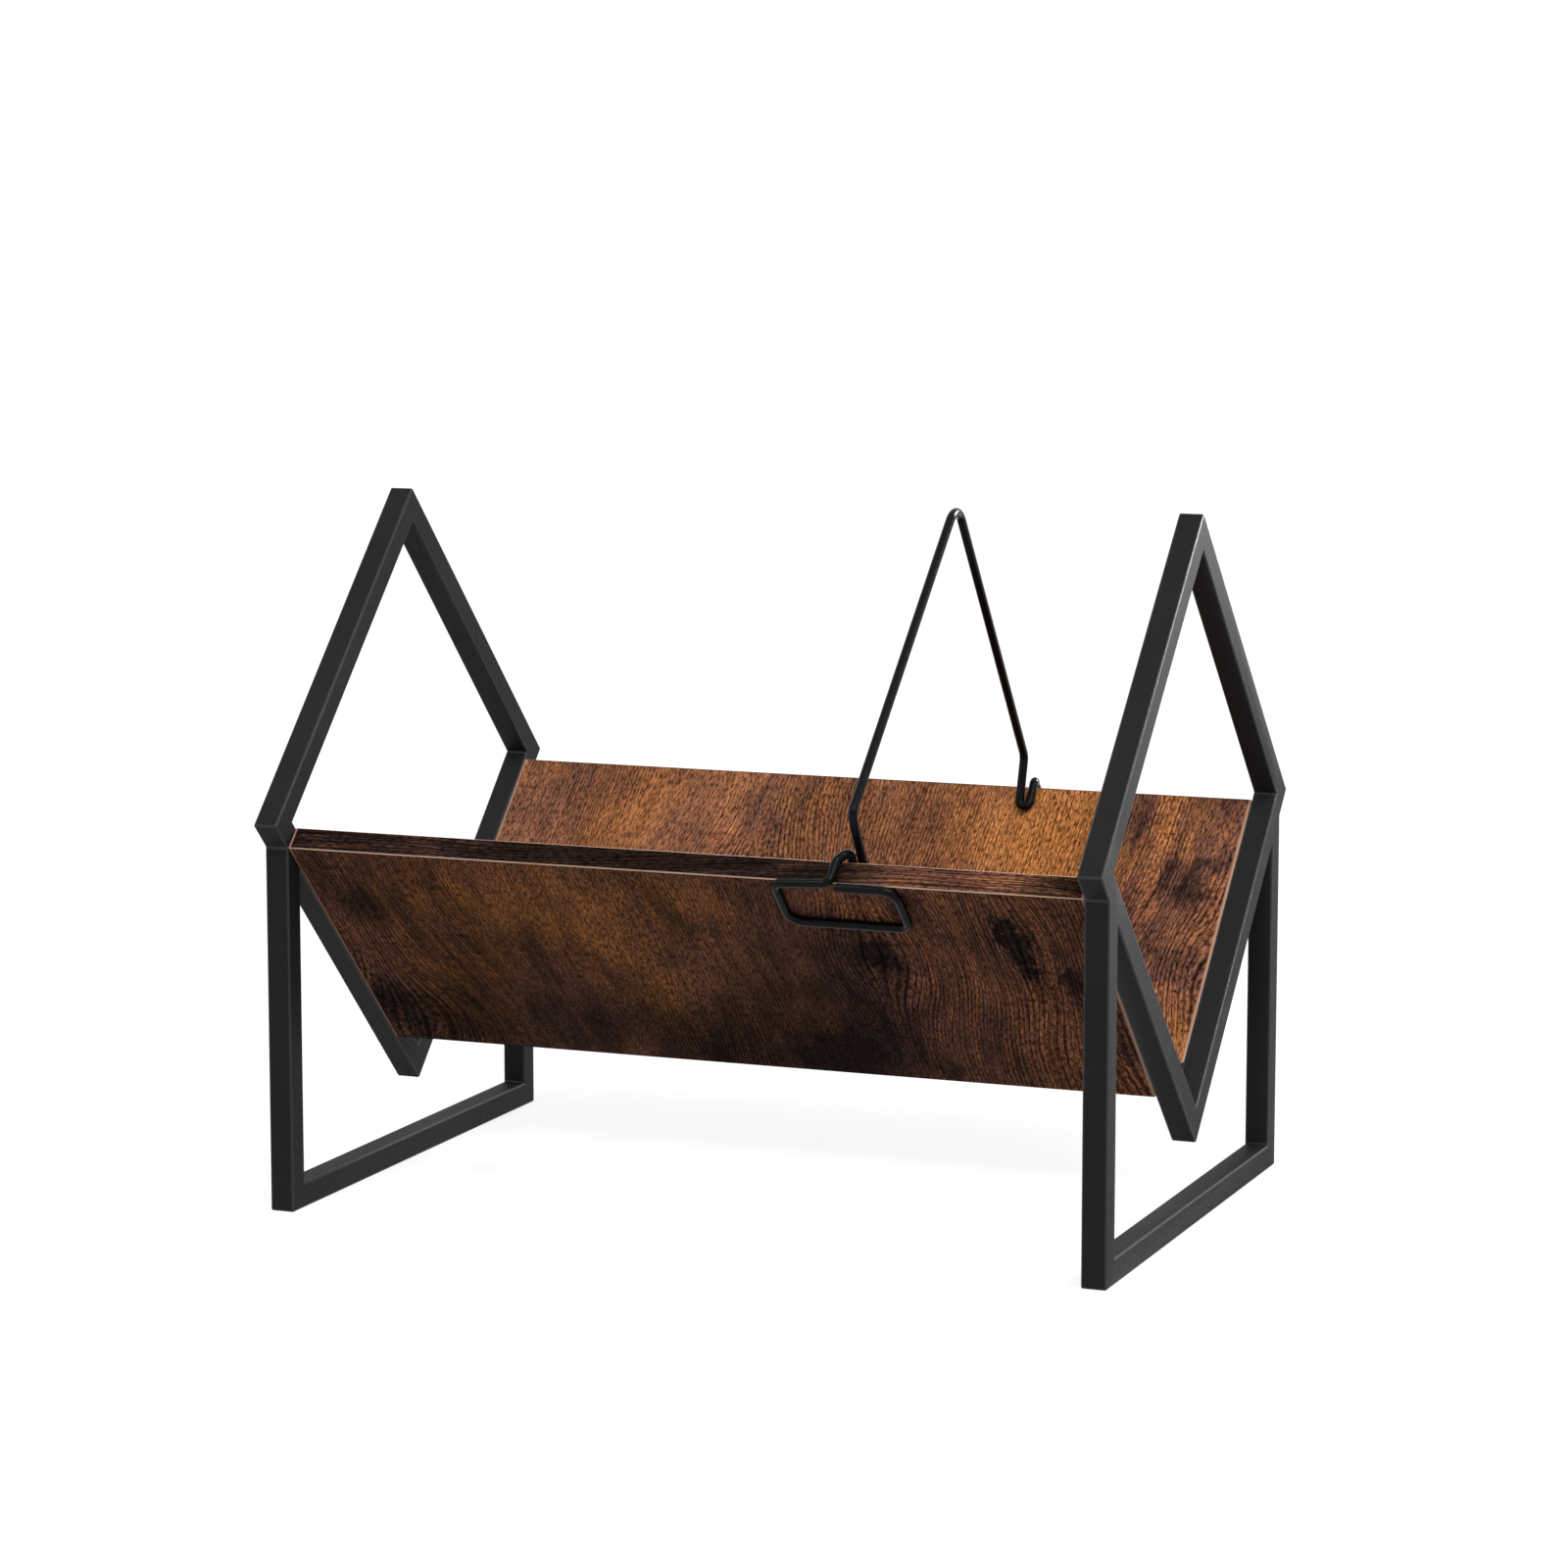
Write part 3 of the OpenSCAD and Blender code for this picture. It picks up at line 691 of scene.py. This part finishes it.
# the marks on each face, from the middle of its board's top edge: the depth of
# the face, then its stains, its golds and its knots
FACE_AXES = (ALONG, DOWN, DEEP)
# its wide spots 150 to 160 mm down mostly darken the face towards its bottom edge
FRONT_OUTER_FACE = (
    0,
    (
        ((-195, 150), (55, 50), 0, 0.12), ((-197, 140), (22, 26), 0, 0.25),
        ((-186, 46), (18, 20), 0, 0.24), ((-188, 100), (26, 40), 0, -0.1),
        ((-141, 24), (9, 22), 0, 0.15), ((-100, 78), (9, 34), 0, 0.18),
        ((-125, 150), (70, 44), 0, 0.24), ((-150, 122), (16, 20), 0, 0.16),
        ((-80, 24), (75, 55), 0, -0.08), ((-45, 60), (30, 50), 0, -0.04),
        ((-40, 112), (10, 34), 0, -0.1), ((5, 150), (120, 48), 0, 0.27),
        ((12, 92), (20, 24), 0, 0.12), ((42, 64), (24, 50), 0, 0.16),
        ((10, 24), (26, 26), 0, -0.14), ((-66, 152), (18, 24), 0, -0.14),
        ((62, 92), (40, 20), 0, 0.14), ((-110, 58), (14, 20), 0, -0.1),
        ((82, 112), (36, 66), 0, 0.26), ((84, 60), (32, 28), 0, 0.36),
        ((91, 58), (13, 14), 0, 0.5), ((50, 155), (40, 24), 0, 0.22),
        ((168, 45), (8, 31), -0.1, 0.95), ((190, 72), (12, 12), 0, 0.45),
        ((115, 20), (8, 14), 0, 0.25), ((107, 160), (7, 12), 0, 0.25),
        ((145, 50), (55, 80), 0, -0.12), ((172, 112), (30, 64), 0, -0.15),
    ),
    (
        ((-55, 35), (75, 60), 0, 0.6), ((-40, 120), (20, 40), 0, 0.5), ((150, 90), (80, 120), 0, -0.5),
        ((-145, 75), (50, 90), 0, 0.4), ((-200, 90), (24, 90), 0, -0.4),
    ),
    (
        ((-197, 150), (55, 60), 20), ((90, 66), (40, 45), 10), ((205, 165), (90, 80), 18),
        ((170, 43), (20, 45), 5), ((150, 60), (60, 120), 0), ((-170, 70), (45, 90), 0),
    ),
)
FRONT_INNER_FACE = (
    TUBE,
    (((-120, 60), (20, 14), 0.3, 0.5), ((-20, 110), (50, 40), 0, 0.2), ((130, 40), (40, 50), 0, -0.2)),
    (((120, 60), (70, 60), 0, 0.5),),
    (((-120, 60), (45, 50), 12), ((150, 190), (70, 90), 20)),
)
BACK_INNER_FACE = (
    TUBE,
    (
        ((95, 30), (60, 65), 0, -0.33), ((153, 14), (9, 26), 0, 0.28),
        ((171, 12), (7, 24), 0, -0.36), ((186, 24), (7, 26), -0.15, -0.16),
        ((178, 20), (4, 24), 0, -0.03), ((202, 16), (10, 26), 0, 0.08),
        ((191, 60), (10, 22), 0, 0.4), ((203, 43), (14, 8), 0, 0.3),
        ((205, 64), (7, 20), 0, -0.12), ((170, 50), (8, 36), 0, -0.34),
        ((183, 56), (8, 18), 0, 0.24), ((203, 118), (12, 14), 0, 0.2),
        ((187, 108), (16, 16), 0, 0.28), ((172, 92), (12, 14), 0, 0.12),
        ((-100, 90), (60, 50), 0, 0.15), ((20, 120), (50, 40), 0, 0.2),
    ),
    (
        ((100, 30), (50, 70), 0, 0.3), ((169, 12), (8, 30), 0, 0.4), ((186, 24), (8, 28), 0, 0.3),
        ((186, 75), (40, 70), 0, -0.5),
    ),
    (((215, 110), (46, 45), 12), ((-60, 90), (45, 50), 14), ((170, 55), (16, 50), 2)),
)
BACK_OUTER_FACE = (
    0,
    (((-150, 90), (26, 18), 0.2, 0.4), ((40, 60), (40, 55), 0, -0.15), ((110, 100), (16, 26), 0, 0.45)),
    (((40, 60), (60, 60), 0, 0.5),),
    (((-150, 90), (50, 50), 14), ((110, 100), (45, 50), 12)),
)
front_laminate = laminate_finish(
    "front_board_laminate", FACE_AXES, sheet=1.0, behind=False, base=0.485, lines=0.1,
    faces=(FRONT_OUTER_FACE, FRONT_INNER_FACE),
)
back_laminate = laminate_finish(
    "back_board_laminate", FACE_AXES, sheet=7.0, behind=True, base=0.32, lines=0.0,
    faces=(BACK_INNER_FACE, BACK_OUTER_FACE),
)
for panel, laminate, board in (
    (front_panel, front_laminate, "front_board"), (back_panel, back_laminate, "back_board"),
):
    panel.data.materials[0] = laminate
    # the chamfers take the pale edge colour: the light core, and a painted highlight
    panel.data.materials[1] = edge_core_and_highlight
    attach(panel, "stand")
    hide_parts(board)

# -------------------------------------------------------------- edge bands
# Wood-grain bands glued to the long edges of the boards after the panels are
# cut, so that their grain runs along the stand, across that of the faces.

BAND_AXES = (DEEP, ALONG, DOWN)
# the bands are printed very dark and lightened by spots towards one end: a painted shadow along the rest of
# each band
BAND_PAINTED_SHADE = (((6, 140), (40, 58), 0, -0.5), ((6, 200), (40, 40), 0, -0.15), ((6, 25), (40, 50), 0, 0.1))
BAND_FACE = (0, BAND_PAINTED_SHADE, (), ())
# each band: where it starts and ends down the slope, its glued edge and its sheets of print
for edge, top, bottom, glued, front_sheet, back_sheet in (
    ("top", BOARD_TOP, BOARD_TOP + BAND, BOARD_TOP + BAND, 12.0, 17.0),
    ("bottom", BOARD_BOTTOM - BAND, BOARD_BOTTOM, BOARD_BOTTOM - BAND, 15.0, 20.0),
):
    front_band = start_slab(f"front_board_{edge}_edge_band", top, bottom)
    front_band.data.materials.append(None)
    front_band.data.materials.append(None)
    chamfer_edges(lambda x, down, deep: abs(down - glued) > BAND / 4)
    shade(front_band)
    back_band = duplicate(front_band, f"back_board_{edge}_edge_band", MIRROR_Y)
    for band, board, behind, sheet in (
        (front_band, "front_board", False, front_sheet), (back_band, "back_board", True, back_sheet),
    ):
        # the very dark base tone, with the spots, is a painted shadow along most of the band
        band.data.materials[0] = laminate_finish(
            f"{board}_{edge}_band_laminate", BAND_AXES, sheet=sheet, behind=behind, base=0.97, lines=2.0,
            faces=(BAND_FACE,),
        )
        # the chamfers take the pale edge colour: the light core, and a painted highlight
        band.data.materials[1] = edge_core_and_highlight
        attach(band, "stand")
        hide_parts(f"{board}_{edge}_band")

# ----------------------------------------------------------------- divider
# One length of black wire, bent on pegs: a tall triangle whose legs turn in a
# hairpin inside the trough, hook over the boards' top edges and end in a
# finger loop on each outer face. Its two halves are half a turn apart.

WIRE_R = 0.00235
DIVIDER_X = 0.09
PEAK_LEAN = 0.0044
PEAK_RISE = 0.002
PEAK = Vector((DIVIDER_X + PEAK_LEAN, 0, DIAMOND_Z + DIAMOND_REACH + PEAK_RISE))
PEAK_BEND = 0.013
SLIDE_GAP = 0.0003
WIRE_BEND = 0.006
LOOP_BEND = 0.005
LOOP_WIDE_BEND = 0.008
LOOP_WIDTH = 0.0627
LOOP_HEIGHT = 0.0312
LOOP_REACH = 0.0341
LOOP_DROP = 0.0026
LOOP_STEP = 0.0006
LOOP_END_GAP = WIRE_R + 0.00065
HOOK_ROOT_BEND = WIRE_R + 0.00165
HOOK_BEND = WIRE_R + 0.00125
HOOK_HEIGHT = 0.00055
HOOK_TURN = 0.002
HOOK_TOE_IN = 0.0008
HAIRPIN_DEPTH = 0.015
HAIRPIN_GAP = 0.0007
HAIRPIN_LAND = 0.0004
HAIRPIN_PITCH = 2 * WIRE_R + HAIRPIN_GAP
HAIRPIN_BEND = (HAIRPIN_PITCH - HAIRPIN_LAND) / 2
HAIRPIN_SHIFT = 0.0011
ARC_STEP = math.radians(6)
WIRE_ROUNDNESS = 8
WIRE_END_ROUNDING = 0.0007
WIRE_END_STEPS = 3
WIRE_END_ANGLE = math.radians(60)

outer_deep = -WIRE_R - SLIDE_GAP
inner_deep = TUBE + WIRE_R + SLIDE_GAP
hook_gap = WIRE_R + SLIDE_GAP + HOOK_HEIGHT
hook_down = BOARD_TOP - hook_gap
strand_x = HAIRPIN_SHIFT - HAIRPIN_PITCH / 2
loop_far_x = strand_x - LOOP_REACH
loop_near_x = loop_far_x + LOOP_WIDTH
loop_top = hook_down + LOOP_DROP


def half_route(shift, spare, rise, clear):
    """Corners from a loop's open end to the bend of its leg: along, down, deep, and the radius there.

    The hook's outer end is shifted along the trough, and its inner turn lies a spare length further
    in. The leg bends at a rise over the board's edge, clear of the plane of its inner face.
    """
    outer_x = strand_x - shift
    return (
        (outer_x + LOOP_END_GAP, loop_top + LOOP_STEP, outer_deep, 0),
        (loop_near_x, loop_top + LOOP_STEP, outer_deep, LOOP_WIDE_BEND),
        (loop_near_x, loop_top + LOOP_HEIGHT, outer_deep, LOOP_BEND),
        (loop_far_x, loop_top + LOOP_HEIGHT, outer_deep, LOOP_WIDE_BEND),
        (loop_far_x, loop_top, outer_deep, LOOP_BEND),
        (outer_x, hook_down, outer_deep, HOOK_ROOT_BEND),
        (outer_x, hook_down, TUBE - HOOK_TURN, HOOK_BEND),
        (strand_x + HOOK_TOE_IN, hook_down, TUBE + hook_gap + spare, HOOK_BEND),
        (strand_x, BOARD_TOP + HAIRPIN_DEPTH, inner_deep, HAIRPIN_BEND),
        (strand_x + HAIRPIN_PITCH, BOARD_TOP + HAIRPIN_DEPTH, inner_deep, HAIRPIN_BEND),
        (strand_x + HAIRPIN_PITCH, BOARD_TOP - rise, TUBE + clear, WIRE_BEND),
    )


def bend(before, corner, after, radius):
    """Points on the arc that takes the wire round one corner."""
    into, onto = (corner - before).normalized(), (after - corner).normalized()
    turn = into.angle(onto)
    start = corner - into * radius * math.tan(turn / 2)
    inward = (onto - into * onto.dot(into)).normalized()
    steps = math.ceil(turn / ARC_STEP)
    angles = [turn * step / steps for step in range(steps + 1)]
    return [start + radius * (inward * (1 - math.cos(a)) + into * math.sin(a)) for a in angles]


half_turn = Matrix.Translation((DIVIDER_X, 0, 0)) @ Matrix.Rotation(math.pi, 4, "Z")
front_half = [
    (on_slope(DIVIDER_X + x, down, deep), radius)
    for x, down, deep, radius in half_route(shift=0.0044, spare=0.0012, rise=0.0235, clear=0.0117)
]
back_half = [
    (half_turn @ on_slope(x, down, deep), radius)
    for x, down, deep, radius in half_route(shift=-0.0016, spare=0, rise=0.009, clear=0.0153)
]
corners = front_half + [(PEAK, PEAK_BEND)] + back_half[::-1]
route = [corners[0][0]]
for (before, _), (corner, radius), (after, _) in zip(corners, corners[1:], corners[2:]):
    route += bend(before, corner, after, radius)
route.append(corners[-1][0])

wire_curve = bpy.data.curves.new("divider_wire_form", "CURVE")
wire_curve.dimensions = "3D"
wire_curve.bevel_depth = WIRE_R
wire_curve.bevel_resolution = WIRE_ROUNDNESS
wire_curve.use_fill_caps = True
spline = wire_curve.splines.new("POLY")
spline.points.add(len(route) - 1)
for point, place in zip(spline.points, route):
    point.co = (*place, 1)
wire = bpy.data.objects.new("divider_wire_form", wire_curve)
bpy.context.collection.objects.link(wire)
bpy.ops.object.select_all(action="DESELECT")
wire.select_set(True)
bpy.context.view_layer.objects.active = wire
bpy.ops.object.convert(target="MESH")
wire = bpy.context.object
wire.name = wire.data.name = "divider_bent_wire"
bpy.ops.object.mode_set(mode="EDIT")
bpy.ops.mesh.select_all(action="SELECT")
bpy.ops.mesh.remove_doubles(threshold=MERGE_WITHIN)
bpy.ops.mesh.normals_make_consistent(inside=False)
bpy.ops.object.mode_set(mode="OBJECT")
round_edges(wire, WIRE_END_ROUNDING, WIRE_END_STEPS, WIRE_END_ANGLE)
shade(wire)
wire.data.materials.clear()
wire.data.materials.append(powder_finish(
    "satin_black_powder", (0.0022, 0.0023, 0.004), roughness=0.2, specular=0.09, bumpiness=0.05,
))
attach(wire, "divider")
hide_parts("divider_wire")

# ------------------------------------------------------------------- studio
# A seamless white ground, soft light from the right and above, two small lamp
# panels for the tubes and the wire, and a camera at the photograph's place.

WHITE = (1, 1, 1, 1)
GROUND_SIZE = 60
BOUNCE_GREY = (0.355, 0.355, 0.355, 1)
SHADOW_GREY = (0.3, 0.3, 0.3, 1)
GROUND_GLOW = 0.83
SKY_LIGHT = 0.45


def seen_or_mirrored(tree):
    """One where the camera sees a thing, directly or in gloss or glass, and zero where it only lights."""
    rays = put(tree, "LightPath").outputs
    mirrored = reckon(tree, "MAXIMUM", rays["Is Glossy Ray"], rays["Is Transmission Ray"])
    return reckon(tree, "MAXIMUM", rays["Is Camera Ray"], mirrored)


bpy.ops.object.select_all(action="DESELECT")
bpy.ops.mesh.primitive_plane_add(size=GROUND_SIZE)
floor = bpy.context.object
floor.name = floor.data.name = "studio_floor"
ground = bpy.data.materials.new("studio_white")
ground.use_nodes = True
tree = ground.node_tree
tree.nodes.clear()
paper = put(tree, "BsdfDiffuse", {"Color": BOUNCE_GREY})
shadow_paper = put(tree, "BsdfDiffuse", {"Color": SHADOW_GREY})
glow = put(tree, "Emission", {"Color": WHITE, "Strength": GROUND_GLOW})
seen = put(tree, "AddShader", {0: shadow_paper.outputs[0], 1: glow.outputs[0]})
both = put(tree, "MixShader", {0: seen_or_mirrored(tree), 1: paper.outputs[0], 2: seen.outputs[0]})
tree.links.new(both.outputs[0], put(tree, "OutputMaterial").inputs["Surface"])
floor.data.materials.append(ground)

world = bpy.data.worlds.new("studio")
bpy.context.scene.world = world
world.use_nodes = True
tree = world.node_tree
tree.nodes.clear()
level = reckon(tree, "MULTIPLY", seen_or_mirrored(tree), 1 - SKY_LIGHT)
level = reckon(tree, "ADD", level, SKY_LIGHT)
sky = put(tree, "Background", {"Color": WHITE, "Strength": level})
tree.links.new(sky.outputs[0], put(tree, "OutputWorld").inputs["Surface"])


def add_sun(name, azimuth, elevation, strength, spread):
    """A soft distant lamp; azimuth 0 is at the front and 90 at the right."""
    lamp = bpy.data.objects.new(name, bpy.data.lights.new(name, "SUN"))
    bpy.context.collection.objects.link(lamp)
    lamp.data.energy = strength
    lamp.data.angle = math.radians(spread)
    around, up = math.radians(azimuth), math.radians(elevation)
    towards = Vector((math.sin(around) * math.cos(up), -math.cos(around) * math.cos(up), math.sin(up)))
    lamp.matrix_world = towards.to_track_quat("Z", "Y").to_matrix().to_4x4()


add_sun("key", azimuth=50, elevation=52, strength=1.7, spread=40)
add_sun("rim", azimuth=150, elevation=25, strength=0.7, spread=20)


def add_panel(name, place, aim, size, energy, spread):
    """A square lamp panel that the camera doesn't see."""
    panel = bpy.data.objects.new(name, bpy.data.lights.new(name, "AREA"))
    bpy.context.collection.objects.link(panel)
    panel.data.size = size
    panel.data.energy = energy
    panel.data.spread = math.radians(spread)
    panel.visible_camera = False
    facing = (place - aim).to_track_quat("Z", "Y").to_matrix().to_4x4()
    panel.matrix_world = Matrix.Translation(place) @ facing


# the panel shines on the right frame's upper tubes, the small lamp draws the glints along the wire
UPPER_TUBES = Vector((-OUTER_X, 0.03, DIAMOND_Z + 1.2 * DIAMOND_REACH))
DIVIDER_MIDDLE = Vector((DIVIDER_X, 0, DIAMOND_Z))
add_panel("panel", Vector((0.75, 0.95, 0.85)), UPPER_TUBES, size=0.3, energy=1.5, spread=20)
add_panel("glint", Vector((-0.6, -1.0, 1.3)), DIVIDER_MIDDLE, size=0.08, energy=0.45, spread=60)

CAMERA_PLACE = Vector((0.88626, -2.2213, 0.55618))
CAMERA_AZIMUTH = math.radians(21.746)
CAMERA_ELEVATION = math.radians(8.1461)
CAMERA_LENS = 106.889
FILM_WIDTH = 36
NEAREST = 0.05
FARTHEST = 100

camera = bpy.data.objects.new("camera", bpy.data.cameras.new("camera"))
bpy.context.collection.objects.link(camera)
bpy.context.scene.camera = camera
camera.data.sensor_width = FILM_WIDTH
camera.data.lens = CAMERA_LENS
camera.data.clip_start = NEAREST
camera.data.clip_end = FARTHEST
back = Vector((
    math.sin(CAMERA_AZIMUTH) * math.cos(CAMERA_ELEVATION),
    -math.cos(CAMERA_AZIMUTH) * math.cos(CAMERA_ELEVATION),
    math.sin(CAMERA_ELEVATION),
))
right = Vector((math.cos(CAMERA_AZIMUTH), math.sin(CAMERA_AZIMUTH), 0))
turned = Matrix((right, back.cross(right), back)).transposed().to_4x4()
camera.matrix_world = Matrix.Translation(CAMERA_PLACE) @ turned

bpy.context.scene.view_settings.view_transform = "Standard"
